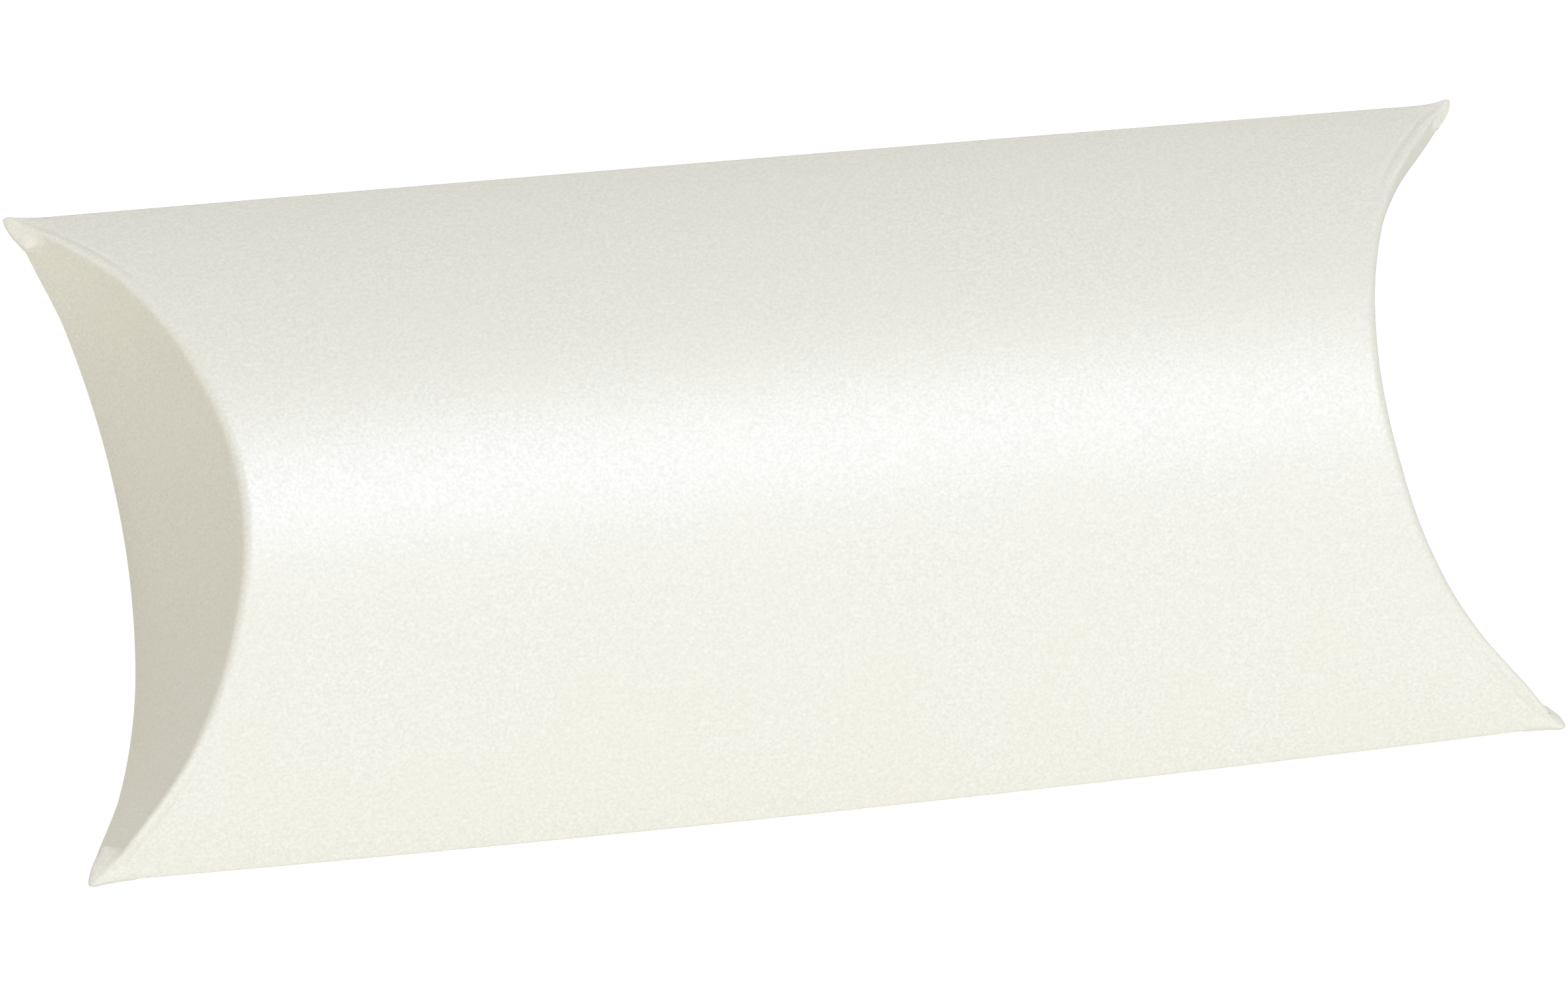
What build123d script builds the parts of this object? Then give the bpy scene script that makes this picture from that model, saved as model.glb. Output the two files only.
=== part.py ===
from build123d import *
import math
import os

# A pillow box: one die-cut blank of card, bent, folded along curved creases and glued along one long edge.
# +X runs along the box, +Y across it and +Z up through it. The box lies on its back panel, and the origin
# is under its middle, on the surface it rests on.

# Whole box
length = 210.0           # from corner tip to corner tip
chord = 93.4             # across the box, between the sharp lines of the two long folds
thickness = 35.4         # through the middle, between the outer faces of the two panels
crease_depth = 24.8      # how far the middle of an end crease lies in from the line between its corners
card_thickness = 0.45

# Long folds and glued seam
fold_radius = 0.85
fold_width = 2.0
cut_edge_gap = 1.0       # from the sharp line of the seam to the cut edge of the back panel
glue_flap_width = 13.0
glue_flap_end_gap = 7.0  # from the end of the panels to the long side of the glue flap
glue_thickness = 0.12
glue_width = 8.0
glue_end_gap = 12.0      # from the end of the glue flap to the end of the glue

# End creases and their corner tips
bead_radius = 0.75
bead_sink = 0.45         # from the outer face of the panel down to the middle of the crease's bead
bead_overrun = 0.25      # how far the panels and folds run on into the bead, past the crease plane
bead_point_shares = (0.3, 0.55, 0.75, 0.9)  # of the half chord, where the bead's bend changes
bead_sides = 12          # the round section is drawn with this many flat sides
neck_radius = 0.5        # where a corner tip starts to round off
neck_length = 0.5
tip_radius = 0.25        # at the very end of a corner tip
tip_length = 2.0         # how far a corner tip stands out past the crease plane
tip_flare = 0.8          # how far a corner tip stands out past the long fold

# End flaps. A rigid flap turns about the middle of its curved crease, so it leaves the crease more and more
# towards its corners, and only a narrow root at the middle reaches to the crease.
root_width = 10.0
outer_root_gap = 1.8     # from the crease at the panel's face to the flap, along the flap
outer_flap_gap = 2.7
outer_flap_taper_share = 0.25    # extra gap, as a share of the crease's drop from its middle
outer_flap_corner_gap = 6.2      # from the sharp line of a long fold to the end of a flap
outer_flap_edge_gap = 0.6        # how far the free edge stays short of the back panel's face
inner_root_gap = 1.35
inner_flap_gap = 3.0
inner_flap_taper_share = 0.22
inner_flap_corner_gap = 7.5
inner_flap_height_share = 0.36   # of the panel's height, where the free edge of the inner flap stops
inner_flap_inset = 0.3           # from the crease at the panel's face in to the middle of the flap's card

HALF_TURN = 180          # degrees

# Worked out from the sizes above
half_length = length / 2
half_chord = chord / 2
rise = thickness / 2
bend_radius = (half_chord**2 + rise**2) / (2 * rise)
bend_centre = bend_radius - rise
crease_slope = crease_depth / rise
corner_x = half_length - tip_length
mid_height = rise + bead_radius - bead_sink
bead_bend_radius = bend_radius - bead_sink
fold_edge = half_chord - fold_width
glue_flap_edge = fold_edge - glue_flap_width


def bend_disc(side, inset):
    """Disc of the circle that the front (side 1) or back (side -1) panel is bent to, drawn in by inset."""
    return Pos(0, -side * bend_centre) * Circle(bend_radius - inset)


def lens(front_inset, back_inset, corner_radius):
    """The overlap of the two panels' discs, with its two corners rounded."""
    shape = bend_disc(1, front_inset) & bend_disc(-1, back_inset)
    return fillet(shape.vertices(), corner_radius)


def window(low, high, side):
    """The part of a cross section from low to high across the box, above (1) or below (-1) its middle."""
    return Pos((low + high) / 2, side * thickness / 2) * Rectangle(high - low, thickness)


def whole_window(low, high):
    return window(low, high, 1) + window(low, high, -1)


def run_along(section):
    """A cross section of the box, run along its whole length."""
    return extrude(Plane.YZ * section, amount=half_length, both=True)


def crease_plane(end, side):
    """The inclined plane that holds an end crease; it faces away from the box."""
    return Plane(origin=(end * corner_x, 0, 0), z_dir=(end, 0, side * crease_slope))


def between_creases(solid, sides):
    """Cut a long piece off just past the crease planes of both ends, inside the beads."""
    for end in (1, -1):
        for side in sides:
            solid = split(solid, bisect_by=crease_plane(end, side).offset(bead_overrun), keep=Keep.BOTTOM)
    return solid


def crease_point(share):
    """A point on the middle line of the right front crease, at a share of the half chord."""
    y = share * half_chord
    height = math.sqrt(bead_bend_radius**2 - y**2) - bend_centre
    return Vector(corner_x - crease_slope * height, y, height)


def bead_section(centre, way, radius):
    """The many-sided section of the bead, square to its way, with one corner facing out of the crease plane."""
    return Plane(origin=centre, x_dir=(1, 0, crease_slope), z_dir=way) * RegularPolygon(radius, bead_sides)


def half_bead():
    """
    The +Y half of the right front crease. The section is turned about the middle of one arc after another, all
    in the crease plane, and then runs straight out and thins down to the corner tip.
    """
    start = crease_point(0)
    way = Vector(0, 1, 0)
    bead = Part()
    for share in bead_point_shares:
        arc = TangentArc(start, crease_point(share), tangent=way)
        bend = Axis(arc.arc_center, (start - arc.arc_center).cross(way))
        angle = math.degrees(arc.length / arc.radius)
        bead += revolve(bead_section(start, way, bead_radius), axis=bend, revolution_arc=angle)
        start = arc @ 1
        way = arc % 1
    tip = Vector(half_length, half_chord + tip_flare - tip_radius, 0)
    tip_way = (tip - start).normalized()
    sections = [
        bead_section(start, way, bead_radius),
        bead_section(tip - neck_length * tip_way, tip_way, neck_radius),
        bead_section(tip, Vector(1, 0, 0), tip_radius),
    ]
    return bead + loft(sections, ruled=True)


def crease_bead():
    """The right front crease from corner tip to corner tip, cut at the middle of the box's thickness."""
    half = half_bead()
    bead = half + mirror(half, about=Plane.XZ)
    return split(bead, bisect_by=Plane.XY, keep=Keep.TOP)


def rooted_edge(side, way, gap, taper_share):
    """
    The plane of a flap's rooted edge. Along the flap it leaves the crease by the gap at the middle, and by a
    share more of what the crease has dropped. It faces the crease.
    """
    start = Vector(corner_x - crease_depth, 0, side * rise) + gap * way
    run = Vector(crease_slope, 0, -side) + taper_share * way
    return Plane(origin=start, z_dir=Vector(-side * run.Z, 0, side * run.X))


def outer_flap():
    """
    The right front flap. Across a planar crease, card that carries on bent as before and card that is folded
    are mirror images of each other in the crease plane. So the folded flap is bent to the panel's own circle,
    about an axis that leans outwards, and its free edge lies in a plane square to the crease plane.
    """
    lean = 2 * math.atan(1 / crease_slope)
    way = Vector(math.cos(lean), 0, -math.sin(lean))
    leaned = Plane(origin=(corner_x, 0, 0), x_dir=(0, 1, 0), z_dir=way)
    ring = bend_disc(-1, -card_thickness) - bend_disc(-1, 0)

    def sheet(reach, gap, taper_share):
        solid = extrude(leaned * (ring & window(-reach, reach, -1)), amount=half_length, both=True)
        return split(solid, bisect_by=rooted_edge(1, way, gap, taper_share), keep=Keep.BOTTOM)

    flap = sheet(half_chord - outer_flap_corner_gap, outer_flap_gap, outer_flap_taper_share)
    flap += sheet(root_width / 2, outer_root_gap, 0)
    free_edge = Plane(origin=(corner_x, 0, 0), z_dir=(crease_slope, 0, -1)).offset(-outer_flap_edge_gap)
    return split(flap, bisect_by=free_edge, keep=Keep.BOTTOM)


def inner_flap():
    """
    The right back flap, tucked upright behind the outer one. It stands on the back crease, whose plan is the
    panel's circle stretched along the box by the crease slope.
    """
    run = crease_slope * bend_radius
    half_card = card_thickness / 2
    ring = Ellipse(run + half_card, bend_radius + half_card) - Ellipse(run - half_card, bend_radius - half_card)
    ring = Pos(corner_x - inner_flap_inset + crease_slope * bend_centre) * ring

    def sheet(reach, gap, taper_share):
        plan = ring & (Pos(corner_x - crease_depth) * Rectangle(2 * crease_depth, 2 * reach))
        solid = extrude(plan, amount=rise, both=True)
        edge = rooted_edge(-1, Vector(0, 0, 1), gap, taper_share)
        return split(solid, bisect_by=edge, keep=Keep.BOTTOM)

    flap = sheet(half_chord - inner_flap_corner_gap, inner_flap_gap, inner_flap_taper_share)
    flap += sheet(root_width / 2, inner_root_gap, 0)
    free_edge = Plane(origin=(corner_x, 0, 0), z_dir=(inner_flap_height_share, 0, crease_slope))
    return split(flap, bisect_by=free_edge, keep=Keep.BOTTOM)


def four_creases():
    """The right front crease, and the same turned half round each axis of the box for the other three."""
    crease = crease_bead()
    return {
        "right_front_crease": crease,
        "right_back_crease": Rotation(X=HALF_TURN) * crease,
        "left_front_crease": Rotation(Z=HALF_TURN) * crease,
        "left_back_crease": Rotation(Y=HALF_TURN) * crease,
    }


def panels():
    """Front and back panels. The back one runs on past the seam to its own cut edge."""
    front_ring = bend_disc(1, 0) - bend_disc(1, card_thickness)
    back_ring = bend_disc(-1, 0) - bend_disc(-1, card_thickness)
    front = run_along(front_ring & window(-fold_edge, fold_edge, 1))
    back = run_along(back_ring & window(cut_edge_gap - half_chord, fold_edge, -1))
    return {
        "front_panel": between_creases(front, (1,)),
        "back_panel": between_creases(back, (-1,)),
    }


def folds():
    """The long fold joins the two panels. The seam fold joins the front panel to the glue flap."""
    inner_radius = fold_radius - card_thickness
    seam_inset = card_thickness + glue_thickness
    ring = lens(0, 0, fold_radius) - lens(card_thickness, card_thickness, inner_radius)
    seam_ring = lens(0, seam_inset, fold_radius) - lens(card_thickness, seam_inset + card_thickness, inner_radius)
    long_fold = run_along(ring & whole_window(fold_edge, half_chord))
    seam_fold = run_along(seam_ring & whole_window(-half_chord, -fold_edge))
    return {
        "long_fold": between_creases(long_fold, (1, -1)),
        "seam_fold": between_creases(seam_fold, (1, -1)),
    }


def glue_flap():
    """The flap inside the back panel, with its two ends cut back at 45 degrees."""
    inset = card_thickness + glue_thickness
    ring = bend_disc(-1, inset) - bend_disc(-1, inset + card_thickness)
    flap = run_along(ring & window(-fold_edge, -glue_flap_edge, -1))
    for end in (1, -1):
        corner = (end * (corner_x - glue_flap_end_gap), -fold_edge, 0)
        flap = split(flap, bisect_by=Plane(origin=corner, z_dir=(end, 1, 0)), keep=Keep.BOTTOM)
    return flap


def glue_line():
    """The line of glue between the glue flap and the back panel."""
    margin = (glue_flap_width - glue_width) / 2
    ring = bend_disc(-1, card_thickness) - bend_disc(-1, card_thickness + glue_thickness)
    section = ring & window(margin - fold_edge, margin + glue_width - fold_edge, -1)
    reach = corner_x - glue_flap_end_gap - glue_flap_width - glue_end_gap
    return extrude(Plane.YZ * section, amount=reach, both=True)


def flaps():
    outer = outer_flap()
    inner = inner_flap()
    return {
        "right_outer_flap": outer,
        "left_outer_flap": Rotation(Z=HALF_TURN) * outer,
        "right_inner_flap": inner,
        "left_inner_flap": Rotation(Z=HALF_TURN) * inner,
    }


def fixed_pieces():
    """The pieces that keep still. The creases take their round beds out of the panels and folds."""
    creases = four_creases()
    pieces = panels() | folds()
    for name in pieces:
        for bead in creases.values():
            pieces[name] = pieces[name] - bead
    return pieces | creases | {"glue_flap": glue_flap(), "glue_line": glue_line()}


os.makedirs("parts", exist_ok=True)
for name, piece in (fixed_pieces() | flaps()).items():
    export_step(Pos(0, 0, mid_height) * piece, f"parts/{name}.step")
    print(name, "volume", round(piece.volume, 1))
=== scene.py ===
# %% [markdown]
# # A pillow box of pearly card
# The box is one die-cut sheet of card. It is bent into two bowed panels, folded along curved creases at both
# ends, and glued into a sleeve along one long edge. This lesson builds it on top of the CAD model, which
# gives the places, the bodies and the hinges. Card is thin and smooth, so every piece here is a surface
# worked out as a formula on a grid, and then given the thickness of the card.

# %% The frame from the CAD model
import math

import bpy
import numpy as np
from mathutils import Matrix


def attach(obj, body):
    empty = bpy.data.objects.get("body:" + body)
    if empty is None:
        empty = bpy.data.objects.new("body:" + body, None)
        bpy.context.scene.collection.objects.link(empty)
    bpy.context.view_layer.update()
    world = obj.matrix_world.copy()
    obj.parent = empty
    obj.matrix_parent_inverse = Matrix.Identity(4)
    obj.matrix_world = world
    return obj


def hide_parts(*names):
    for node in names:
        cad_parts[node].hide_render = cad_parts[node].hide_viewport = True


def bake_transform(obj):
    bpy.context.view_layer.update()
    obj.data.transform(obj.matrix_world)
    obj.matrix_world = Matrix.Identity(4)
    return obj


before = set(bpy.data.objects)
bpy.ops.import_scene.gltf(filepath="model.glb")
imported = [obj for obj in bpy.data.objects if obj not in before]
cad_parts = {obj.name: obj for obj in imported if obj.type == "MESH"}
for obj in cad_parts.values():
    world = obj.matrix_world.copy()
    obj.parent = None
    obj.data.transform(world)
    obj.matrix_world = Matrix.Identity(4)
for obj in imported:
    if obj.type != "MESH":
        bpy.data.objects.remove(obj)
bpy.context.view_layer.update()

# %% [markdown]
# ## Sizes
# All lengths below are in millimetres, measured from the middle of the box, because a card box is drawn that
# way. They become metres, and move up to the CAD model's floor, only when a mesh is made. The card is a
# little thicker than stiff paper, and the sharp lines of the drawing are where the outer faces would meet
# before they are rounded. Both long edges bow outwards a little at mid length, each by its own amount.

# %% Sizes of the box
MM = 0.001
HALF_LENGTH = 105.0
HALF_CHORD = 46.9
RISE = 17.7
MID_HEIGHT = 18.0
CARD = 0.45
CREASE_SLOPE = 1.4
BEND_RADIUS = (HALF_CHORD**2 + RISE**2) / (2 * RISE)
BEND_CENTRE = BEND_RADIUS - RISE
BOW = {1: 0.2, -1: 1.15}
print("radius of the bent panels:", round(BEND_RADIUS, 2), "mm")

# %% [markdown]
# ## The bent panel and its crease line
# A panel is part of a cylinder, so its height depends only on the share `u` of the way across the box. The
# crease is where that cylinder meets a leaning plane, which makes a curve from corner to corner. Close to
# the corners the real crease runs on past the plane, out to the tip of the ear.

# %% Height of a panel, edge of the box and crease line
CORNER_SET_BACK = 2.0
CORNER_RUN_SHARE = 0.276


def panel_height(u):
    """Height of the outer face above the middle: a circle through both long edges, at share u across."""
    return np.sqrt(BEND_RADIUS**2 - (HALF_CHORD * u)**2) - BEND_CENTRE


def across(u, x):
    """Distance from the long middle line: u times the half chord, which bows out a little at mid length."""
    bow = np.where(u > 0, BOW[1], BOW[-1])
    return u * (HALF_CHORD + bow * (1 - np.clip(x / HALF_LENGTH, -1, 1)**2))


def crease_line(u):
    """Distance of the crease along the box: the leaning plane's, run out to the tip near the corners."""
    set_back = CORNER_SET_BACK * np.sqrt(np.clip((1 - np.abs(u)) / CORNER_RUN_SHARE, 0, 1))
    return HALF_LENGTH - set_back - CREASE_SLOPE * panel_height(u)


print("crease at the middle:", round(float(crease_line(0.0)), 2), "mm from the middle of the box")

# %% [markdown]
# ## Grids of points
# Each surface is a grid of points, worked out all at once. Its normals come from the differences between
# neighbouring points, and its faces from the numbers of the points. The border is the same grid's outline,
# which the cut edge of the card will follow.

# %% Normals, border and faces of a grid
def grid_normals(grid):
    """Unit normals of a grid of points: the cross product of its two directions, row by row."""
    along = np.gradient(grid, axis=0)
    over = np.gradient(grid, axis=1)
    normal = np.cross(along, over)
    return normal / np.linalg.norm(normal, axis=2, keepdims=True)


def border(rows, columns):
    """Numbers of a grid's border points, once round."""
    index = np.arange(rows * columns).reshape(rows, columns)
    return np.concatenate([index[0, :-1], index[:-1, -1], index[-1, :0:-1], index[:0:-1, 0]])


def grid_faces(rows, columns):
    """Four-cornered faces between the points of a grid."""
    index = np.arange(rows * columns).reshape(rows, columns)
    four = (index[:-1, :-1], index[1:, :-1], index[1:, 1:], index[:-1, 1:])
    return np.stack(four, axis=2).reshape(-1, 4)


print("a grid of 3 by 4 points has", len(grid_faces(3, 4)), "faces and", len(border(3, 4)), "border points")

# %% [markdown]
# ## From a grid to a piece of card
# A sheet of card has an outer face, an inner face and a thin edge all round. Blender's Solidify could add the
# inner face, but then the cut edge would be square and flat. Here the inner grid is the outer one moved in
# along its own normals, and a third row of points halfway down the edge is pushed out a little, which
# gives the soft, slightly swollen edge that a cutting die leaves.

# %% Closed card shells
EDGE_SWELL = 0.05
LEAST_LENGTH = 1e-12


def card_shell(outer, outward, swell=0.0, thickness=CARD):
    """
    Points, faces and finishes of a closed sheet. The inner face is the outer one moved in by the thickness;
    the edge has a middle row, pushed out by swell. Finishes: 0 outer face, 1 inner face, 2 edge.
    """
    rows, columns, _ = outer.shape
    normal = grid_normals(outer)
    if np.sum(normal * outward) < 0:
        outer = outer[:, ::-1]
        normal = -normal[:, ::-1]
    inner = outer - thickness * normal
    ring = border(rows, columns)
    edge_middle = (outer + inner).reshape(-1, 3)[ring] / 2
    side = np.roll(edge_middle, -1, axis=0) - np.roll(edge_middle, 1, axis=0)
    push = np.cross(side, normal.reshape(-1, 3)[ring])
    push /= np.linalg.norm(push, axis=1, keepdims=True) + LEAST_LENGTH
    edge_middle = edge_middle + swell * push
    count = rows * columns
    points = np.concatenate([outer.reshape(-1, 3), inner.reshape(-1, 3), edge_middle])
    top = grid_faces(rows, columns)
    bottom = top[:, ::-1] + count
    middle = 2 * count + np.arange(len(ring))
    upper = np.stack([ring, np.roll(ring, -1), np.roll(middle, -1), middle], axis=1)
    lower = np.stack([middle, np.roll(middle, -1), np.roll(ring, -1) + count, ring + count], axis=1)
    faces = np.concatenate([top, bottom, upper[:, ::-1], lower[:, ::-1]])
    finish = np.repeat([0, 1, 2], [len(top), len(bottom), 2 * len(ring)])
    return points, faces.tolist(), finish


print("swollen edges stand out by", EDGE_SWELL, "mm")

# %% [markdown]
# ## From points to a Blender object
# One function makes every mesh, so all of them get their scale, their materials and their shading in the
# same way. Faces are smooth, except where two of them meet at a sharp angle, as at the cut edge.

# %% Smooth mesh objects
SHARP_ANGLE = 50.0


def make_piece(name, points, faces, finish, materials):
    """A smooth mesh object from points in millimetres; finish gives the number of each face's material."""
    mesh = bpy.data.meshes.new(name)
    placed = np.array(points, float) * MM
    placed[:, 2] += MID_HEIGHT * MM
    mesh.from_pydata(placed.tolist(), [], faces)
    for material in materials:
        mesh.materials.append(material)
    mesh.polygons.foreach_set("material_index", np.asarray(finish, np.int32))
    mesh.polygons.foreach_set("use_smooth", np.ones(len(faces), bool))
    mesh.update()
    mesh.set_sharp_from_angle(angle=math.radians(SHARP_ANGLE))
    piece = bpy.data.objects.new(name, mesh)
    bpy.context.scene.collection.objects.link(piece)
    low, high = placed.min(0) / MM, placed.max(0) / MM
    print(name, len(faces), "faces, from", low.round(1), "to", high.round(1), "mm")
    return piece


print("edges sharper than", SHARP_ANGLE, "degrees stay sharp")

# %% [markdown]
# ## The grain of the card
# The card has a thin pearly coat of mica. Close up it shows a fine speckle, faint warm patches, and single
# flakes that catch the light. All of this sits in one node group, which puts out masks and a height, so
# the outer face, the inner face and the cut edge can each use it with their own strength. The patterns
# read Object coordinates, in metres.

# %% A node group with its sockets
GRAIN_SCALE = 2400.0
PATCH_SCALE = 55.0
grain_group = bpy.data.node_groups.new("card_grain", "ShaderNodeTree")
grain_group.interface.new_socket("Vector", in_out="INPUT", socket_type="NodeSocketVector")
for name, value in (("Grain Scale", GRAIN_SCALE), ("Patch Scale", PATCH_SCALE)):
    socket = grain_group.interface.new_socket(name, in_out="INPUT", socket_type="NodeSocketFloat")
    socket.default_value = value
for name in ("Speck", "Patch", "Flake", "Height"):
    grain_group.interface.new_socket(name, in_out="OUTPUT", socket_type="NodeSocketFloat")
grain_nodes, grain_links = grain_group.nodes, grain_group.links
grain_in = grain_nodes.new("NodeGroupInput")
grain_out = grain_nodes.new("NodeGroupOutput")
print("grain group sockets:", [item.name for item in grain_group.interface.items_tree])

# %% [markdown]
# ## Speckle and patches
# Speckle and patches are both noise, at two very different scales. A noise texture mostly gives middle
# values, so each one is spread out to the whole range from 0 to 1 before it is used as a mask.

# %% Noise and spread
def grain_noise(scale_socket, detail, roughness):
    """A noise texture of the group, with one of the group's scales."""
    node = grain_nodes.new("ShaderNodeTexNoise")
    node.inputs["Detail"].default_value = detail
    node.inputs["Roughness"].default_value = roughness
    grain_links.new(grain_in.outputs["Vector"], node.inputs["Vector"])
    grain_links.new(grain_in.outputs[scale_socket], node.inputs["Scale"])
    return node.outputs["Fac"]


def spread(value, low, high):
    """The value as a share of the way from low to high."""
    node = grain_nodes.new("ShaderNodeMapRange")
    node.inputs["From Min"].default_value = low
    node.inputs["From Max"].default_value = high
    grain_links.new(value, node.inputs["Value"])
    return node.outputs["Result"]


speck = spread(grain_noise("Grain Scale", detail=3.0, roughness=0.65), low=0.3, high=0.7)
patch = spread(grain_noise("Patch Scale", detail=4.0, roughness=0.6), low=0.35, high=0.65)
print("masks made:", speck.node.name, "and", patch.node.name)

# %% [markdown]
# ## Flakes and height
# A Voronoi texture gives every cell a random colour. Only the cells with the highest red count as flakes,
# about one in ten. The height for the bump is the speckle plus half of the flakes, so flakes stand up.

# %% Flakes and the group's outputs
FLAKE_START = 0.9
FLAKE_HEIGHT = 0.5
cells = grain_nodes.new("ShaderNodeTexVoronoi")
grain_links.new(grain_in.outputs["Vector"], cells.inputs["Vector"])
grain_links.new(grain_in.outputs["Grain Scale"], cells.inputs["Scale"])
pick = grain_nodes.new("ShaderNodeSeparateColor")
grain_links.new(cells.outputs["Color"], pick.inputs["Color"])
flake = spread(pick.outputs["Red"], low=FLAKE_START, high=1.0)
height = grain_nodes.new("ShaderNodeMath")
height.operation = "MULTIPLY_ADD"
height.inputs[1].default_value = FLAKE_HEIGHT
grain_links.new(flake, height.inputs[0])
grain_links.new(speck, height.inputs[2])
for name, value in (("Speck", speck), ("Patch", patch), ("Flake", flake), ("Height", height.outputs[0])):
    grain_links.new(value, grain_out.inputs[name])
print("grain group has", len(grain_nodes), "nodes")

# %% [markdown]
# ## Mixing two colours
# Real card gets its tone from fibres and flakes of slightly different colours. In a material this is a mix
# of two colours by a mask. The mask is first multiplied by a share, which says how strongly it works, so
# one mask can serve several materials.

# %% A helper that mixes two colours
def colour_sockets(sockets):
    """The colour sockets of a Mix node, which also has sockets of the same names for other data."""
    return [item for item in sockets if item.type == "RGBA"]


def add_mix(tree, factor, share, first, second):
    """A colour between first and second, by a mask times a share. Tuples are set, sockets are linked."""
    strength = tree.nodes.new("ShaderNodeMath")
    strength.operation = "MULTIPLY"
    strength.inputs[1].default_value = share
    tree.links.new(factor, strength.inputs[0])
    mix = tree.nodes.new("ShaderNodeMix")
    mix.data_type = "RGBA"
    tree.links.new(strength.outputs[0], mix.inputs["Factor"])
    for socket, value in zip(colour_sockets(mix.inputs), (first, second)):
        if isinstance(value, tuple):
            socket.default_value = (*value, 1.0)
        else:
            tree.links.new(value, socket)
    return colour_sockets(mix.outputs)[0]


print("colours are mixed by a mask times a share")

# %% [markdown]
# ## Materials of card
# No spot of the card is one flat colour: each material mixes three close shades by the masks. The speckle
# also makes the roughness a little uneven, and the height gives a very fine bump. One function builds the
# material, because the faces of the card differ only in their numbers.

# %% A function for card materials
FLAKE_SHARE = 0.5
ROUGHNESS_SPREAD = 0.06
BUMP_DISTANCE = 0.00002


def card_material(name, light, dark, warm, roughness, bump, scale, patch_share):
    """Card with three close shades: speckled between light and dark, and warmer in patches."""
    material = bpy.data.materials.new(name)
    material.use_nodes = True
    tree = material.node_tree
    shader = tree.nodes["Principled BSDF"]
    place = tree.nodes.new("ShaderNodeTexCoord")
    grain = tree.nodes.new("ShaderNodeGroup")
    grain.node_tree = grain_group
    grain.inputs["Grain Scale"].default_value = scale
    tree.links.new(place.outputs["Object"], grain.inputs["Vector"])
    speckled = add_mix(tree, grain.outputs["Speck"], 1.0, dark, light)
    patched = add_mix(tree, grain.outputs["Patch"], patch_share, speckled, warm)
    flaked = add_mix(tree, grain.outputs["Flake"], FLAKE_SHARE, patched, light)
    tree.links.new(flaked, shader.inputs["Base Color"])
    rough = tree.nodes.new("ShaderNodeMapRange")
    rough.inputs["To Min"].default_value = roughness + ROUGHNESS_SPREAD
    rough.inputs["To Max"].default_value = roughness - ROUGHNESS_SPREAD
    tree.links.new(grain.outputs["Speck"], rough.inputs["Value"])
    tree.links.new(rough.outputs["Result"], shader.inputs["Roughness"])
    relief = tree.nodes.new("ShaderNodeBump")
    relief.inputs["Strength"].default_value = bump
    relief.inputs["Distance"].default_value = BUMP_DISTANCE
    tree.links.new(grain.outputs["Height"], relief.inputs["Height"])
    tree.links.new(relief.outputs["Normal"], shader.inputs["Normal"])
    print(name, "has", len(tree.nodes), "nodes")
    return material


print("roughness goes up and down by", ROUGHNESS_SPREAD)

# %% [markdown]
# ## Three finishes of the card, and glue
# The outer face is satin: a warm white with a broad, soft shine from its mica coat, for which it gets a high
# index of refraction. The inner face is uncoated, so it is duller and a little warmer. The cut edge shows
# the card's fibres, slightly darker. Dried glue is smooth and pale.

# %% The pearly outer face, the inner face, the cut edge and the glue
PEARL_IOR = 1.92
pearl_card = card_material(
    "pearl_card", light=(0.93, 0.905, 0.835), dark=(0.78, 0.75, 0.665), warm=(0.87, 0.825, 0.705),
    roughness=0.39, bump=0.45, scale=GRAIN_SCALE, patch_share=0.35)
pearl_card.node_tree.nodes["Principled BSDF"].inputs["IOR"].default_value = PEARL_IOR
inner_card = card_material(
    "card_inner_face", light=(0.83, 0.81, 0.75), dark=(0.76, 0.74, 0.67), warm=(0.80, 0.77, 0.68),
    roughness=0.72, bump=0.4, scale=1700.0, patch_share=0.4)
cut_edge = card_material(
    "card_cut_edge", light=(0.74, 0.72, 0.66), dark=(0.60, 0.58, 0.52), warm=(0.68, 0.64, 0.56),
    roughness=0.8, bump=0.7, scale=5200.0, patch_share=0.3)
glue_white = card_material(
    "dried_glue", light=(0.86, 0.85, 0.80), dark=(0.80, 0.79, 0.73), warm=(0.80, 0.77, 0.68),
    roughness=0.45, bump=0.3, scale=600.0, patch_share=0.3)
CARD_FACES = (pearl_card, inner_card, cut_edge)
INSIDE_FACES = (inner_card, inner_card, cut_edge)

# %% [markdown]
# ## The rounded crease
# Across the crease, a cut straight down the length of the box shows two straight lines: the panel, and the
# flap that leans outwards. Card can't fold sharply, so the crease is a roll: a circle that touches both
# lines. Near the corners the roll grows, because the cut crosses it more and more aslant, and it tapers
# again where it runs into the ear.

# %% Size of the roll
TURN = {1: 2 * math.atan(1 / CREASE_SLOPE), -1: math.radians(90)}
ROLL_TANGENT = 1.15
ROLL_CORNER_GROWTH = 0.75
ROLL_CORNER_LOSS = 0.45
CORNER_SHARES = (0.84, 0.97)


def smooth_step(value):
    """0 below 0, 1 above 1, and a soft S between: three squares less two cubes."""
    value = np.clip(value, 0, 1)
    return value**2 * (3 - 2 * value)


def corner(u):
    """0 along the crease, rising softly to 1 where the crease runs into the ear."""
    return smooth_step((np.abs(u) - CORNER_SHARES[0]) / (CORNER_SHARES[1] - CORNER_SHARES[0]))


def roll_size(u):
    """Length from the sharp line to where the roll touches each face: it grows, then tapers into the ear."""
    return ROLL_TANGENT * (1 + ROLL_CORNER_GROWTH * np.abs(u)**3) * (1 - ROLL_CORNER_LOSS * corner(u))


def roll_arc(u, side):
    """Radius of the roll's circle and the length of its arc, from the turn of the fold."""
    radius = roll_size(u) / math.tan(TURN[side] / 2)
    return radius, radius * TURN[side]


print("radius of the front roll at the middle:", round(float(roll_arc(0.0, 1)[0]), 2), "mm")

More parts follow.
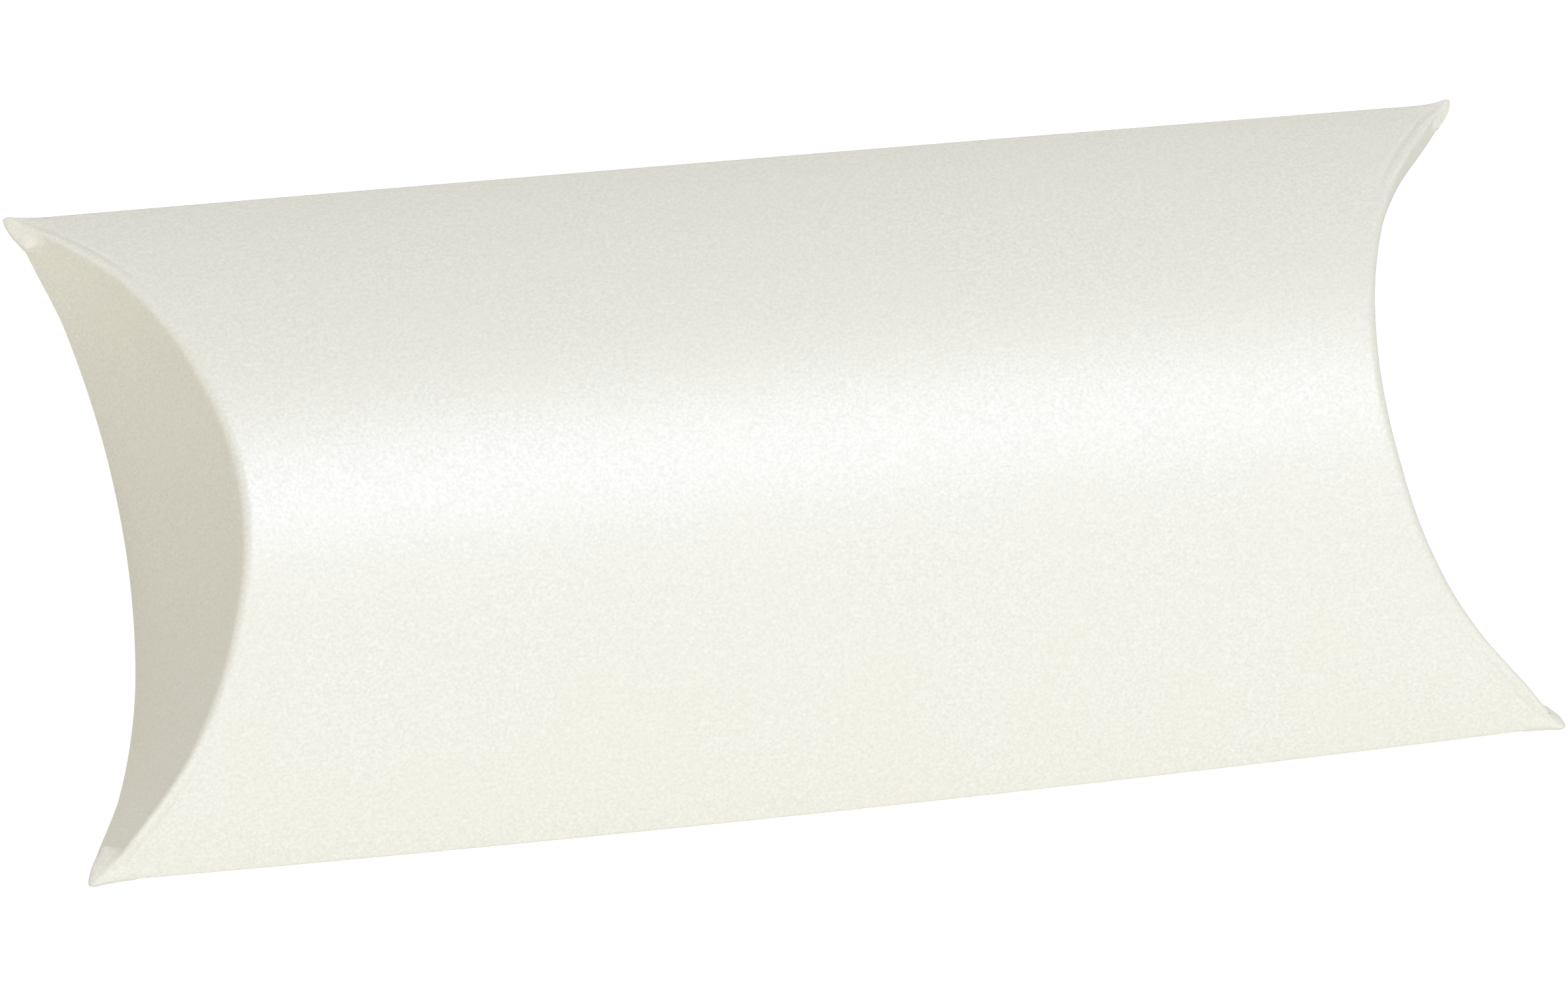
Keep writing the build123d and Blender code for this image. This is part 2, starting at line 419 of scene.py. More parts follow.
# %% [markdown]
# ## Folded by hand
# Hands never fold a crease quite where it was pressed. Each front crease and each outer flap's free edge
# wanders from its ideal line by up to about two millimetres. The amounts were matched to the photo at a
# few places and are joined by a soft line, so no kink shows.

# %% Tables of shifts
# Pairs of share across and millimetres outwards, for the left end (-1) and the right end (1).
CREASE_SHIFTS = {
    -1: [(-1, 0), (-0.95, 0.1), (-0.8, 0.3), (-0.67, 0.4), (-0.5, 0.7), (-0.35, 1.05), (0, 0.95),
         (0.35, 1.0), (0.58, 0.3), (0.78, -0.3), (0.9, -0.15), (1, 0)],
    1: [(-1, 0), (-0.95, 0.6), (-0.88, 0.95), (-0.8, 0.7), (-0.6, 0.2), (-0.42, 0.5), (-0.2, 1.2),
        (0, 1.3), (0.2, 1.15), (0.4, 0.75), (0.6, 0.4), (0.8, 0.3), (0.95, 0.4), (1, 0)]}
FREE_EDGE_SHIFTS = {
    -1: [(-1, 1.3), (-0.9, 1.3), (-0.8, 1.1), (-0.6, 0.5), (-0.4, 0.1), (0.4, -0.1), (1, 0)],
    1: [(-1, 1.1), (-0.92, 1.6), (-0.85, 2.1), (-0.6, 0), (-0.3, -1.3), (0.3, -1.9), (0.6, -2.0),
        (0.8, -1.4), (0.88, 0.4), (1, 1.4)]}
TABLE_REACH = 1.2
TABLE_SAMPLES = 481
BELL_REACH = 0.1
BELL_SAMPLES = 41
BELL_WIDTH = 0.05


def uneven(shifts, u):
    """A table of shifts read softly: straight lines between its points, averaged by a bell curve."""
    fine = np.linspace(-TABLE_REACH, TABLE_REACH, TABLE_SAMPLES)
    line = np.interp(fine, *np.array(shifts).T)
    bell = np.exp(-(np.linspace(-BELL_REACH, BELL_REACH, BELL_SAMPLES) / BELL_WIDTH)**2)
    trim = BELL_SAMPLES // 2
    return np.interp(u, fine[trim:-trim], np.convolve(line, bell / bell.sum(), "valid"))


def crease_shift(u, side, end):
    """How far the front crease of one end lies outside its ideal line. Back creases stay on theirs."""
    return uneven(CREASE_SHIFTS[end], u) if side > 0 else 0 * u


print("shift at the middle of the right crease:", round(float(crease_shift(0.0, 1, 1)), 2), "mm")

# %% [markdown]
# ## Lip and valley
# A creasing rule presses a line into the card before it is folded. In the photo this shows towards the
# corners: the roll stands a little proud of the panel, with a shallow valley beside it. A bump map can't
# change an outline, so both are real shapes here, bell curves with no edges of their own.

# %% Lip and valley beside the crease
LIP_START_SHARE = 0.55
LIP_FADE_SHARE = 0.3
LIP_CORNER_LOSS = 0.6
LIP_HEIGHT = 0.34
LIP_PLACE = 0.45
LIP_WIDTH = 0.36
VALLEY_DEPTH = 0.2
VALLEY_PLACE = -0.75
VALLEY_WIDTH = 0.45


def lip_and_valley(u, position, arc):
    """Two bells along the section: the lip, as shares of the arc, less the valley, in millimetres."""
    proud = smooth_step((np.abs(u) - LIP_START_SHARE) / LIP_FADE_SHARE) * (1 - LIP_CORNER_LOSS * corner(u))
    lip = LIP_HEIGHT * proud * np.exp(-((position - LIP_PLACE * arc) / (LIP_WIDTH * arc))**2)
    valley = VALLEY_DEPTH * proud * np.exp(-((position - VALLEY_PLACE) / VALLEY_WIDTH)**2)
    return lip - valley


print("lip and valley differ by", round(LIP_HEIGHT + VALLEY_DEPTH, 2), "mm at most")

# %% [markdown]
# ## The section across the crease
# The outer flap's face stands out a little from the sharp fold, as it does in the photo. One function gives
# any point of the section by its position in millimetres. The panel, the roll and the flap all take their
# ends from it, so that they meet exactly.

# %% Points of the roll
FLAP_OFFSET = {1: 1.2, -1: 0.0}
OFFSET_GROWING_LOSS = 0.3
OFFSET_CORNER_LOSS = 0.45


def roll_section(u, position, side, end):
    """
    Points of the roll: x and height at share u, at a position along the section in millimetres. Below 0 it
    is on the panel, then it goes round the circle, and after the circle's length it is on the flap.
    """
    turn = TURN[side]
    radius, arc = roll_arc(u, side)
    offset = FLAP_OFFSET[side] * (1 - OFFSET_GROWING_LOSS * np.abs(u)**4)
    offset = offset * (1 - OFFSET_CORNER_LOSS * corner(u))
    touch = crease_line(u) + crease_shift(u, side, end) + offset / math.sin(turn) - roll_size(u)
    angle = np.clip(position / radius, 0, turn)
    before = np.minimum(position, 0)
    after = np.maximum(position - arc, 0)
    x = touch + radius * np.sin(angle) + before + after * math.cos(turn)
    z = panel_height(u) - radius * (1 - np.cos(angle)) - after * math.sin(turn)
    lift = lip_and_valley(u, position, arc)
    return x + lift * np.sin(angle), z + lift * np.cos(angle)


middle_x, middle_z = roll_section(0.0, 0.0, 1, 1)
print("right roll starts at x", round(float(middle_x), 2), "mm, height", round(float(middle_z), 2), "mm")

# %% [markdown]
# ## Panels
# The front panel is the large face of the box. Its grid runs from one crease to the other, and its rows end
# where the roll begins, so panel and roll meet with the same slope. The back panel is the same, turned
# over, but along the seam it stops at its own cut edge.

# %% Front and back panels
FOLD_SHARE = 0.983
BACK_EDGE_SHARE = 0.979
PANEL_END_RUN = 2.2
PANEL_CORNER_RUN = 0.6
CREASE_REACH_SHARE = 0.95
PANEL_POINTS = (121, 61)


def panel_grid(low, high, side):
    """Outer face of a panel: u across, and along the box from roll to roll. Side -1 is the back panel."""
    u = np.linspace(low, high, PANEL_POINTS[0])[:, None]
    s = np.linspace(-1, 1, PANEL_POINTS[1])[None, :]
    end_run = np.where(np.abs(u) > CREASE_REACH_SHARE, PANEL_CORNER_RUN, PANEL_END_RUN)
    left, _ = roll_section(u, -end_run, side, -1)
    right, _ = roll_section(u, -end_run, side, 1)
    x = np.where(s < 0, s * left, s * right)
    y = across(u, x)
    z = side * panel_height(u) * np.ones_like(x)
    return np.stack([x, y, z], axis=2)


front_panel = make_piece(
    "front_panel_card", *card_shell(panel_grid(-FOLD_SHARE, FOLD_SHARE, 1), (0, 0, 1)), CARD_FACES)
back_panel = make_piece("back_panel_card", *card_shell(
    panel_grid(-BACK_EDGE_SHARE, FOLD_SHARE, -1), (0, 0, -1), EDGE_SWELL), CARD_FACES)
for piece, node in ((front_panel, "front_panel"), (back_panel, "back_panel")):
    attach(piece, "box")
    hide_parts(node)

# %% [markdown]
# ## Creases
# Each roll is a strip of its own that starts on the panel and ends on the flap. The outer rolls turn the
# card down into the outer flaps. The inner rolls turn it up by a right angle, because the inner flaps
# stand upright behind the outer ones.

# %% Four rolls
FLAP_START_RUN = 0.8
FLAP_START_CORNER_LOSS = 0.8
CREASE_POINTS = (161, 29)
CREASE_FACING = 0.5


def flap_start(u):
    """Straight run of the strip on the flap's side of the roll, which is much shorter at the ear."""
    return FLAP_START_RUN * (1 - FLAP_START_CORNER_LOSS * corner(u))


def crease_grid(end, side):
    """The roll of one crease: u across, and the section from the panel to the start of the flap."""
    u = np.linspace(-CREASE_REACH_SHARE, CREASE_REACH_SHARE, CREASE_POINTS[0])[:, None]
    _, arc = roll_arc(u, side)
    step = np.linspace(0, 1, CREASE_POINTS[1])[None, :]
    position = -PANEL_END_RUN + step * (PANEL_END_RUN + arc + flap_start(u))
    x, z = roll_section(u, position, side, end)
    return np.stack([end * x, across(u, x), side * z], axis=2)


ends = {"right": 1, "left": -1}
sides = {"front": 1, "back": -1}
for end_name, end in ends.items():
    for side_name, side in sides.items():
        node = f"{end_name}_{side_name}_crease"
        shell = card_shell(crease_grid(end, side), (end * CREASE_FACING, 0, side))
        piece = make_piece(node + "_roll", *shell, CARD_FACES)
        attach(piece, "box")
        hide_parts(node)

# %% [markdown]
# ## Long folds
# Along one long edge the card bends round from the front panel into the back panel. Along the other, the
# front panel bends round and goes on as the glue flap inside the back panel, whose cut edge shows as a
# thin line. A part of a circle would leave a kink at each panel, so both bends are curves that leave each
# panel along its own slope.

# %% Curves round the long edges
FOLD_REACH = 101.5
FOLD_PULL = 0.56
FOLD_POINTS = (81, 17)
SLOPE_STEP = 1e-4


def panel_edge(u, side, inset, x):
    """Place and slope, across and up, at share u of a panel, moved into the box by inset."""
    beyond = u + SLOPE_STEP * np.sign(u)
    y, z = across(u, x), side * panel_height(u)
    slope = np.stack([across(beyond, x) - y, side * panel_height(beyond) - z + 0 * y], axis=2)
    slope /= np.linalg.norm(slope, axis=2, keepdims=True)
    inward = np.stack([-np.sign(u) * np.abs(slope[..., 1]), -side * np.abs(slope[..., 0])], axis=2)
    return np.stack([y, z + 0 * y], axis=2) + inset * inward, slope


def fold_grid(u_front, u_back, back_inset):
    """Cubic Bezier curves round the edge: two ends on the panels, two control points pulled along them."""
    x = np.linspace(-FOLD_REACH, FOLD_REACH, FOLD_POINTS[0])[:, None]
    t = np.linspace(0, 1, FOLD_POINTS[1])[None, :, None]
    start, start_slope = panel_edge(u_front, 1, 0, x)
    stop, stop_slope = panel_edge(u_back, -1, back_inset, x)
    gap = np.linalg.norm(stop - start, axis=2, keepdims=True)
    second = start + FOLD_PULL * gap * start_slope
    third = stop + FOLD_PULL * gap * stop_slope
    curve = start * (1 - t)**3 + 3 * second * t * (1 - t)**2 + 3 * third * t**2 * (1 - t) + stop * t**3
    return np.concatenate([x[..., None] + 0 * curve[..., :1], curve], axis=2)


print("grid of a long fold:", fold_grid(FOLD_SHARE, FOLD_SHARE, 0.0).shape)

# %% [markdown]
# ## The two long edges
# The fold on the far side joins both panels face to face. The one on the near side ends further in, by the
# thickness of the card and of the glue, because there it goes on inside the back panel.

# %% Long fold and seam fold
GLUE_THICKNESS = 0.12
GLUE_FLAP_START = -0.975
long_fold = make_piece(
    "long_fold_card", *card_shell(fold_grid(FOLD_SHARE, FOLD_SHARE, 0.0), (0, 1, 0)), CARD_FACES)
seam_fold = make_piece("seam_fold_card", *card_shell(
    fold_grid(-FOLD_SHARE, GLUE_FLAP_START, CARD + GLUE_THICKNESS), (0, -1, 0)), CARD_FACES)
for piece, node in ((long_fold, "long_fold"), (seam_fold, "seam_fold")):
    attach(piece, "box")
    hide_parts(node)

# %% [markdown]
# ## Glue flap and glue
# The glue flap lies inside the back panel, with its ends cut back so that they clear the end flaps. The glue
# is a thin squeezed line between the two. Neither shows while the box is shut, but they can when a flap
# swings open.

# %% Glue flap and its glue
GLUE_FLAP_SHARES = (GLUE_FLAP_START, -0.68)
GLUE_SHARES = (-0.92, -0.75)
GLUE_FLAP_HALF = 95.0
GLUE_HALF = 71.0
GLUE_SWELL = 0.3
STRIP_POINTS = (21, 61)


def inside_back_grid(shares, inset, half, cut_back):
    """A strip on the inside of the back panel. Its ends are cut back by a share of the distance across."""
    u = np.linspace(*shares, STRIP_POINTS[0])[:, None]
    s = np.linspace(-1, 1, STRIP_POINTS[1])[None, :]
    x = s * (half - cut_back * (u - shares[0]) * HALF_CHORD)
    radius = BEND_RADIUS - inset
    y = across(u, x) * radius / BEND_RADIUS
    z = -(panel_height(u) + BEND_CENTRE) * radius / BEND_RADIUS + BEND_CENTRE
    return np.stack([x, y, z + 0 * x], axis=2)


glue_flap_grid = inside_back_grid(GLUE_FLAP_SHARES, CARD + GLUE_THICKNESS, GLUE_FLAP_HALF, 1.0)
glue_flap = make_piece("glue_flap_card", *card_shell(glue_flap_grid, (0, 0, -1), EDGE_SWELL), INSIDE_FACES)
glue_grid = inside_back_grid(GLUE_SHARES, CARD, GLUE_HALF, 0.0)
glue_shell = card_shell(glue_grid, (0, 0, -1), GLUE_SWELL, GLUE_THICKNESS)
glue_line = make_piece("glue_line_bead", *glue_shell, (glue_white,) * 3)
for piece, node, slot in ((glue_flap, "glue_flap", "card_inside"), (glue_line, "glue_line", "glue")):
    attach(piece, "box")
    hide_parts(node)

# %% [markdown]
# ## Shape of the end flaps
# Folded over a curved crease, the outer flap is the panel's own cylinder seen in a mirror, so it is hollow
# from outside. Its straight lines run down and outwards from the crease to the free edge. The inner flap
# stands upright and is shorter. Both get shorter still at their ends, to leave room for the ears.

# %% Grid of a flap
FLAP_END_START = 0.925
FLAP_END_FADE = 0.03
FLAP_END_LOSS = 0.45
FLAP_LEAST_RUN = 0.05
FREE_EDGE_LIFT = 0.35
INNER_HEIGHT_SHARE = 0.257
FLAP_POINTS = (121, 49)


def free_edge_height(u, x, side):
    """
    Height of a flap's free edge. The outer flap's lies where the back panel's face would be, less a small
    lift. The inner flap's lies on a plane that starts at the middle height and falls away from the corners.
    """
    if side > 0:
        return FREE_EDGE_LIFT - panel_height(u)
    return -INNER_HEIGHT_SHARE * (HALF_LENGTH - CORNER_SET_BACK - x)


def flap_grid(end, side, reach_share):
    """From the end of the roll straight on to the free edge, in the direction in which the roll ends."""
    turn = TURN[side]
    u = np.linspace(-reach_share, reach_share, FLAP_POINTS[0])[:, None]
    _, arc = roll_arc(u, side)
    x0, z0 = roll_section(u, arc + flap_start(u), side, end)
    run = np.maximum((z0 - free_edge_height(u, x0, side)) / math.sin(turn), FLAP_LEAST_RUN)
    run = run * (1 - FLAP_END_LOSS * smooth_step((np.abs(u) - FLAP_END_START) / FLAP_END_FADE))
    t = np.linspace(0, 1, FLAP_POINTS[1])[None, :]
    shift = uneven(FREE_EDGE_SHIFTS[end], u) - crease_shift(u, side, end) if side > 0 else 0 * u
    x = x0 + t * (run * math.cos(turn) + shift)
    z = z0 - t * run * math.sin(turn)
    return np.stack([end * x, across(u, x), side * z], axis=2)


print("inner flaps end", round(-float(free_edge_height(0.0, crease_line(0.0), -1)), 2), "mm past the middle")

# %% [markdown]
# ## The end flaps
# Each flap starts where its roll ends and is made as a closed sheet of card: the outer flaps have the
# pearly face outside, the inner ones the plain inner face. Its placement is baked into its points, and the
# CAD part of the same name is hidden.

# %% Outer and inner flaps
OUTER_FLAP_SHARE = 0.95
INNER_FLAP_SHARE = 0.84
FLAP_FACING = 0.3
for end_name, end in ends.items():
    for flap_name, side, share, faces, slot in (
            ("outer", 1, OUTER_FLAP_SHARE, CARD_FACES, "card"),
            ("inner", -1, INNER_FLAP_SHARE, INSIDE_FACES, "card_inside")):
        body = f"{end_name}_{flap_name}_flap"
        shell = card_shell(flap_grid(end, side, share), (end, 0, side * FLAP_FACING), EDGE_SWELL)
        piece = make_piece(body + "_card", *shell, faces)
        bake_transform(piece)
        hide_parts(body)

# %% [markdown]
# ## Ears
# At each corner the two creases and the long fold run together in a small rounded beak, about 5 mm long.
# Seen from the end it is a wedge. It tapers to a tip near the fold, and its lower half leans as the flap
# does. The rings that build it start inside the box, where they sink under the card, and the last ones
# close to a round nose. Each ear flares out by its own small amount, as hand-folded corners do.

# %% Measures of the rings along an ear
EAR_BASE = 96.5
EAR_RINGS = 44
EAR_TIP_GAP = 0.02
EAR_SHARE_TABLE = (0.8, 1.0, 401)
EAR_FLARE = {(1, 1): 0.75, (-1, 1): 0.5, (1, -1): 0.3, (-1, -1): 0.4}
EAR_FLARE_START = 99.5
EAR_FLARE_POWER = 2.5
EAR_INSET = 0.28
EAR_LEAST_HALF = 0.72
EAR_NOSE_RUN = 1.2
EAR_TIP_WIDTH = 1.7
EAR_TAPER = {(1, 1): 0.62, (-1, 1): 0.9, (1, -1): 0.45, (-1, -1): 1.1}
EAR_TAPER_RUN = 2.4
EAR_BASE_LOSS = 0.6
EAR_BASE_FADE = 4.0
EAR_SINK = 0.45
EAR_SINK_RUN = 2.6


def ear_measures(end, side_y):
    """
    For each ring: place, share across, outer edge, half height, width, sink, and the size of the nose.
    Height and width are each the root of two squares, so they keep a least size. The nose closes as the
    edge of a circle does.
    """
    t = np.sin(np.linspace(0, 1, EAR_RINGS) * math.pi / 2)
    x = EAR_BASE + (HALF_LENGTH - EAR_TIP_GAP - EAR_BASE) * t
    shares = np.linspace(*EAR_SHARE_TABLE)
    u = np.interp(x, crease_line(shares), shares)
    flared = np.clip((x - EAR_FLARE_START) / (HALF_LENGTH - EAR_FLARE_START), 0, 1)**EAR_FLARE_POWER
    edge = HALF_CHORD - EAR_INSET + EAR_FLARE[(end, side_y)] * flared
    half = np.sqrt(panel_height(u)**2 + EAR_LEAST_HALF**2)
    back = HALF_LENGTH - x
    beak = EAR_TIP_WIDTH + EAR_TAPER[(end, side_y)] * np.minimum(back, EAR_TAPER_RUN)
    beak = beak * (1 - EAR_BASE_LOSS * smooth_step((back - EAR_TAPER_RUN) / EAR_BASE_FADE))
    width = np.sqrt((HALF_CHORD * (1 - u))**2 + beak**2)
    sink = EAR_SINK * (1 - smooth_step((x - EAR_BASE) / EAR_SINK_RUN))
    nose = np.sqrt(1 - np.clip((x - HALF_LENGTH + EAR_NOSE_RUN) / EAR_NOSE_RUN, 0, 1)**2)
    return x, u, edge, half, width, sink, nose


print("an ear is", round(float(ear_measures(1, 1)[4][0]), 2), "mm wide where it starts inside the box")

# %% [markdown]
# ## A closed spline
# Folded card has no hard lines at a corner tip. Blender's Subdivision Surface could soften a coarse mesh, but
# here only the rings have to be soft. A cubic B-spline does that, and since it is only a table of weights,
# one product of matrices gives all the rings at once.

# %% Weights of a closed spline
def closed_spline(count, samples):
    """Weights that turn control points in a ring into points of a closed cubic B-spline."""
    place = np.arange(samples) * count / samples
    first = np.floor(place).astype(int)
    f = place - first
    basis = np.stack([(1 - f)**3, 3 * f**3 - 6 * f**2 + 4, -3 * f**3 + 3 * f**2 + 3 * f + 1, f**3]) / 6
    weights = np.zeros((samples, count))
    for step in range(4):
        np.add.at(weights, (np.arange(samples), (first + step - 1) % count), basis[step])
    return weights


print("each row of weights adds up to", round(float(closed_spline(15, 64).sum(1).max()), 6))

# %% [markdown]
# ## Points round an ear
# Eight control points go round the upper half of a ring: four over the panel, from the fold to the crease,
# and four down the wall between the two creases. The lower half is their mirror image, apart from its
# lean. The closed spline follows this ring of points and keeps every line of the wedge soft.

# %% Control points round a ring
EAR_RING_POINTS = 64
EAR_TIP_SHARE = 0.35
EAR_LEAN = 0.4
EAR_FOLD_HALF = 0.62
EAR_FOLD_SHARE = 0.75
EAR_PANEL_POINTS = [(0.0, 0.0), (0.4, 0.4), (0.72, 0.72), (0.96, 1.2)]
EAR_WALL_POINTS = [(0.35, 0.98), (0.75, 0.66), (1.0, 0.32), (0.97, 0.0)]
EAR_WALL_REACH = 1.12
SINK_FROM_TOP = 1.2
SINK_FROM_WIDTH = 1.4


def ear_rings(end, side_y):
    """Rings along the ear: distance from the edge is a share of the width, height a share of the top's."""
    x, u, edge, half, width, sink, nose = ear_measures(end, side_y)
    fold_half = np.minimum(EAR_FOLD_HALF, EAR_FOLD_SHARE * half)
    crease = HALF_CHORD * (1 - u) / width
    top = half - SINK_FROM_TOP * sink
    columns = [(share * crease, fold_half * (1 - level) + level * top) for share, level in EAR_PANEL_POINTS]
    columns += [(crease + share * (EAR_WALL_REACH - crease), level * top) for share, level in EAR_WALL_POINTS]
    share = np.stack([column[0] for column in columns], axis=1)
    up = np.stack([column[1] for column in columns], axis=1)
    share = np.concatenate([share, share[:, -2::-1]], axis=1)
    up = np.concatenate([up, -up[:, -2::-1]], axis=1)
    over = edge[:, None] - sink[:, None] - share * (width - SINK_FROM_WIDTH * sink)[:, None]
    over = over + EAR_LEAN * share * np.minimum(up, 0)
    tip = edge - EAR_TIP_SHARE * width
    over = tip[:, None] + (over - tip[:, None]) * nose[:, None]
    weights = closed_spline(over.shape[1], EAR_RING_POINTS)
    over = over @ weights.T
    up = (up * nose[:, None]) @ weights.T
    return np.stack([end * x[:, None] + 0 * over, side_y * over, up], axis=2)


print("rings of an ear:", ear_rings(1, 1).shape)

# %% [markdown]
# ## Closing the ears
# The rings become a closed tube, with a fan of triangles to a middle point at both ends. Two of the ears
# are mirrored in one direction only, which turns them inside out, so their faces are turned over. The
# ears are part of the same card, so they ride with the box and have the pearly face all over.

# %% Four ears
def closed_tube(rings):
    """Points, four-cornered faces and triangles of a tube of rings, closed with a fan at both ends."""
    rows, columns, _ = rings.shape
    index = np.arange(rows * columns).reshape(rows, columns)
    beside = np.roll(index, -1, axis=1)
    quads = np.stack([index[:-1], index[1:], beside[1:], beside[:-1]], axis=2).reshape(-1, 4)
    points = np.concatenate([rings.reshape(-1, 3), rings[:1].mean(1), rings[-1:].mean(1)])
    base = np.full(columns, rows * columns)
    base_fan = np.stack([base, index[0], beside[0]], axis=1)
    nose_fan = np.stack([base + 1, beside[-1], index[-1]], axis=1)
    return points, quads, np.concatenate([base_fan, nose_fan])


for end_name, end in ends.items():
    for edge_name, side_y in (("fold", 1), ("seam", -1)):
        points, quads, fans = closed_tube(ear_rings(end, side_y))
        if end * side_y < 0:
            quads, fans = quads[:, ::-1], fans[:, ::-1]
        faces = quads.tolist() + fans.tolist()
        name = f"{end_name}_{edge_name}_ear"
        ear = make_piece(name, points, faces, np.zeros(len(faces), int), (pearl_card,))
        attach(ear, "box")

# %% [markdown]
# ## Floor
# The box lies on a plain pale floor. It looks white to the camera because its material adds light of its own
# for camera rays only. So the floor keeps the soft shadow of the box, throws no extra light on it, and the
# hollow flap keeps the depth of its shade.

# %% A floor that glows for camera rays
FLOOR_GLOW = 0.80
FLOOR_COLOUR = (0.80, 0.78, 0.74, 1)
FLOOR_ROUGHNESS = 0.9
FLOOR_HALF = 6.0
WHITE = (1, 1, 1, 1)
floor_material = bpy.data.materials.new("pale_floor")
floor_material.use_nodes = True
floor_nodes, floor_links = floor_material.node_tree.nodes, floor_material.node_tree.links
floor_shader = floor_nodes["Principled BSDF"]
floor_shader.inputs["Base Color"].default_value = FLOOR_COLOUR
floor_shader.inputs["Roughness"].default_value = FLOOR_ROUGHNESS
floor_shader.inputs["Emission Color"].default_value = WHITE
glow = floor_nodes.new("ShaderNodeMath")
glow.operation = "MULTIPLY"
glow.inputs[1].default_value = FLOOR_GLOW
floor_path = floor_nodes.new("ShaderNodeLightPath")
floor_links.new(floor_path.outputs["Is Camera Ray"], glow.inputs[0])
floor_links.new(glow.outputs[0], floor_shader.inputs["Emission Strength"])
floor_mesh = bpy.data.meshes.new("floor")
floor_corners = [(-FLOOR_HALF, -FLOOR_HALF, 0), (FLOOR_HALF, -FLOOR_HALF, 0),
                 (FLOOR_HALF, FLOOR_HALF, 0), (-FLOOR_HALF, FLOOR_HALF, 0)]
floor_mesh.from_pydata(floor_corners, [], [(0, 1, 2, 3)])
floor_mesh.materials.append(floor_material)
floor = bpy.data.objects.new("floor", floor_mesh)
bpy.context.scene.collection.objects.link(floor)
print("floor of", 2 * FLOOR_HALF, "metres")

# %% [markdown]
# ## Sky
# The sky lights the box from all round, so its shade gives the box most of its tone. It is a warm pale grey
# that gets darker to both sides and a little lighter in front, worked out from the direction of the ray.
# Camera, glossy and transmission rays see plain white instead.

# %% Which rays see white
world = bpy.data.worlds.new("pale_sky")
bpy.context.scene.world = world
world.use_nodes = True
sky_nodes, sky_links = world.node_tree.nodes, world.node_tree.links


def sky_math(operation, first, second, third=0.0):
    """One Math node of the sky, with its output. Numbers are set, sockets are linked."""
    node = sky_nodes.new("ShaderNodeMath")
    node.operation = operation
    for socket, value in zip(node.inputs, (first, second, third)):
        if isinstance(value, (int, float)):
            socket.default_value = value
        else:
            sky_links.new(value, socket)
    return node.outputs[0]


path = sky_nodes.new("ShaderNodeLightPath")
seen = sky_math("MAXIMUM", path.outputs["Is Camera Ray"], path.outputs["Is Glossy Ray"])
seen = sky_math("MAXIMUM", seen, path.outputs["Is Transmission Ray"])
print("sky nodes for the rays that see white:", len(sky_nodes) - 2)

# %% [markdown]
# ## Shade of the sky
# The shade is 1 overhead. It loses a share that grows with the square of the way to the side, and leans by
# a small slope each way. Then it scales the warm colour of the sky.

# %% Colour of the sky
SKY_LEVEL = 0.783
SKY_SLOPE = (-0.09, -0.3)
SKY_SIDE_LOSS = 0.82
SKY_COLOUR = (1.0, 0.975, 0.80)
way = sky_nodes.new("ShaderNodeTexCoord")
parts = sky_nodes.new("ShaderNodeSeparateXYZ")
sky_links.new(way.outputs["Generated"], parts.inputs["Vector"])
squared = sky_math("MULTIPLY", parts.outputs["X"], parts.outputs["X"])
sides_dark = sky_math("MULTIPLY_ADD", squared, -SKY_SIDE_LOSS, 1.0)
leaning = sky_math("MULTIPLY_ADD", parts.outputs["X"], SKY_SLOPE[0], sides_dark)
shade = sky_math("MULTIPLY_ADD", parts.outputs["Y"], SKY_SLOPE[1], leaning)
paint = sky_nodes.new("ShaderNodeVectorMath")
paint.operation = "SCALE"
paint.inputs[0].default_value = [SKY_LEVEL * part for part in SKY_COLOUR]
sky_links.new(shade, paint.inputs["Scale"])
tinted = add_mix(world.node_tree, seen, 1.0, paint.outputs["Vector"], (1, 1, 1))
sky_links.new(tinted, sky_nodes["Background"].inputs["Color"])
print("sky has", len(sky_nodes), "nodes")

# %% [markdown]
# ## Lamps
# A very large soft lamp hangs in front of the box and lights the panel evenly. Three small ones hang high
# above it, a little to the back. The pearly coat mirrors them as one long satin highlight along the panel,
# and three of them keep it even from end to end. Their colours are bluish, to balance the warm sky.

# %% Four soft lamps
LAMP_DISTANCE = 1.6


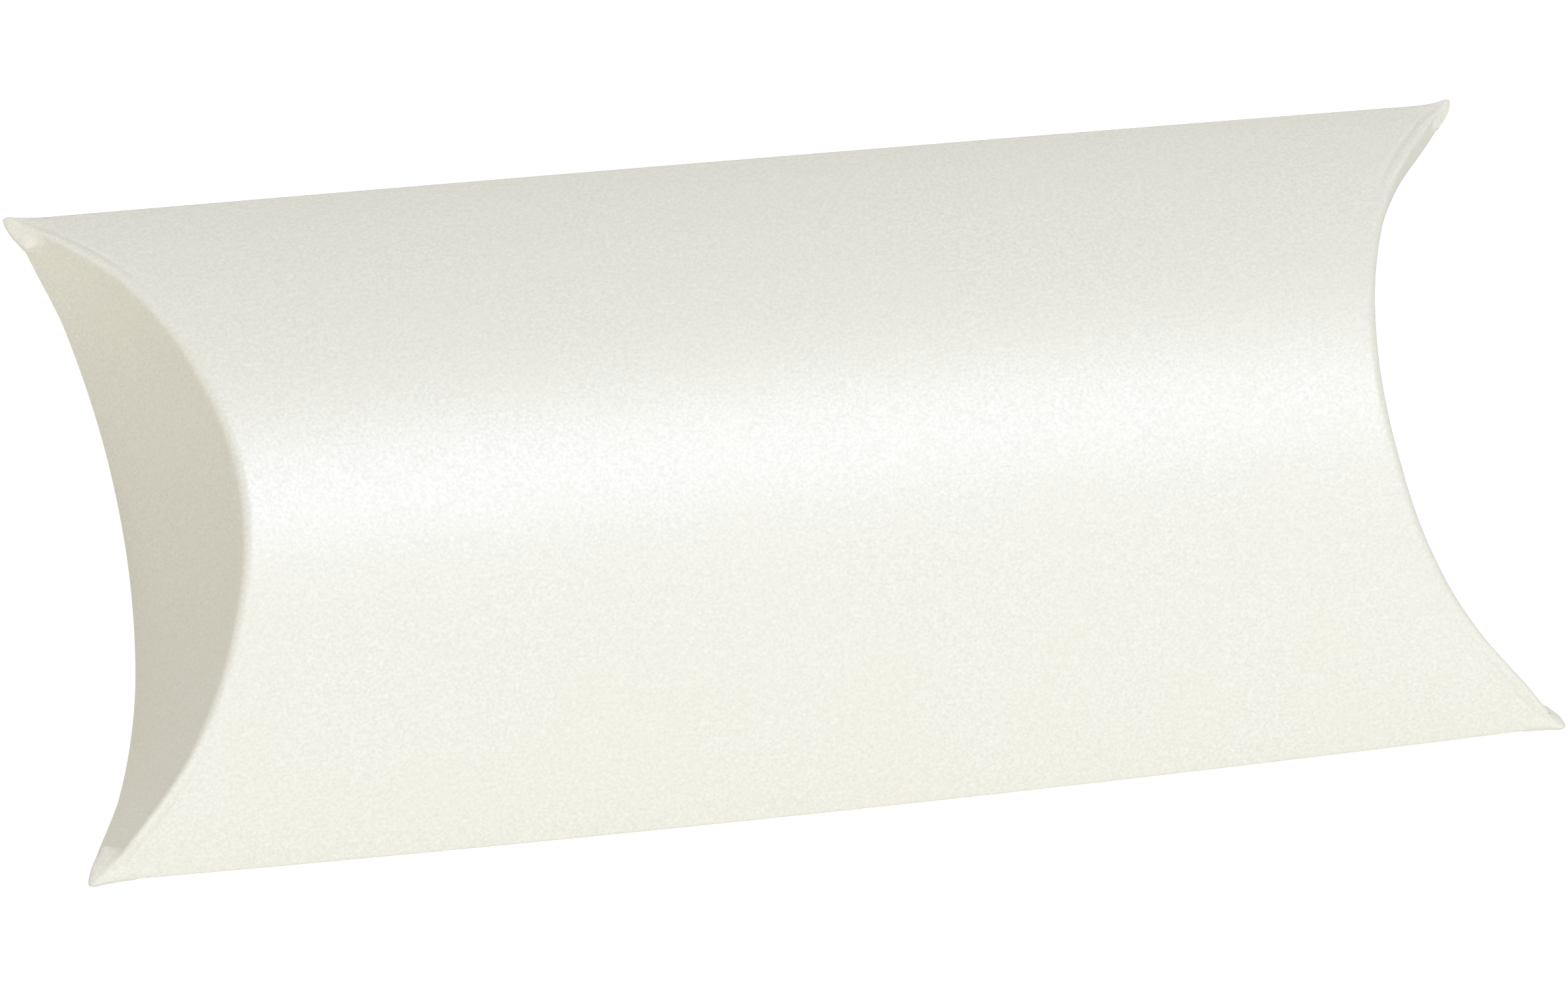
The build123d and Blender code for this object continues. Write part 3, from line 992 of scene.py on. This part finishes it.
def soft_lamp(name, way, size, level, colour):
    """A rectangular lamp that faces the box; its level is about the light it adds to a facing surface."""
    light = bpy.data.lights.new(name, "AREA")
    light.shape = "RECTANGLE"
    light.size, light.size_y = size
    light.energy = level * math.pi**2 * LAMP_DISTANCE**2
    light.color = colour
    lamp = bpy.data.objects.new(name, light)
    lamp.location = np.array(way) / np.linalg.norm(way) * LAMP_DISTANCE
    lamp.rotation_euler = lamp.location.to_track_quat("Z", "Y").to_euler()
    bpy.context.scene.collection.objects.link(lamp)
    print(name, "gives", round(light.energy, 2), "W")


soft_lamp("front_lamp", way=(-0.04, -0.58, 0.81), size=(2.4, 2.4), level=0.295, colour=(0.88, 1.0, 1.23))
soft_lamp("satin_lamp", way=(0.246, 0.37, 0.895), size=(0.4, 0.22), level=0.072, colour=(0.89, 1.0, 1.1))
soft_lamp(
    "left_satin_lamp", way=(0.07, 0.2, 0.977), size=(0.25, 0.22), level=0.106, colour=(0.9, 1.0, 1.5))
soft_lamp(
    "right_satin_lamp", way=(0.45, 0.18, 0.875), size=(0.25, 0.22), level=0.06, colour=(0.9, 1.0, 1.4))

# %% [markdown]
# ## Camera
# The camera stands where the photo was taken from, about 0.9 metres from the box, and a little turned about
# its own line of sight. Its place and lens were fitted to the corners, creases and long edges in the photo.

# %% The photo's camera
CAMERA_PLACE = (-0.22467, -0.21704, 0.86910)
CAMERA_TURN = (15.8222, -12.3654, -8.8928)
CAMERA_LENS = 150.13
SENSOR_WIDTH = 36.0
FARTHEST_VIEW = 20.0
camera_data = bpy.data.cameras.new("camera")
camera_data.sensor_width = SENSOR_WIDTH
camera_data.lens = CAMERA_LENS
camera_data.clip_end = FARTHEST_VIEW
camera = bpy.data.objects.new("camera", camera_data)
camera.location = CAMERA_PLACE
camera.rotation_euler = [math.radians(angle) for angle in CAMERA_TURN]
bpy.context.scene.collection.objects.link(camera)
bpy.context.scene.camera = camera
bpy.context.scene.view_settings.view_transform = "Standard"
print("camera at", CAMERA_PLACE, "metres with a lens of", CAMERA_LENS, "mm")
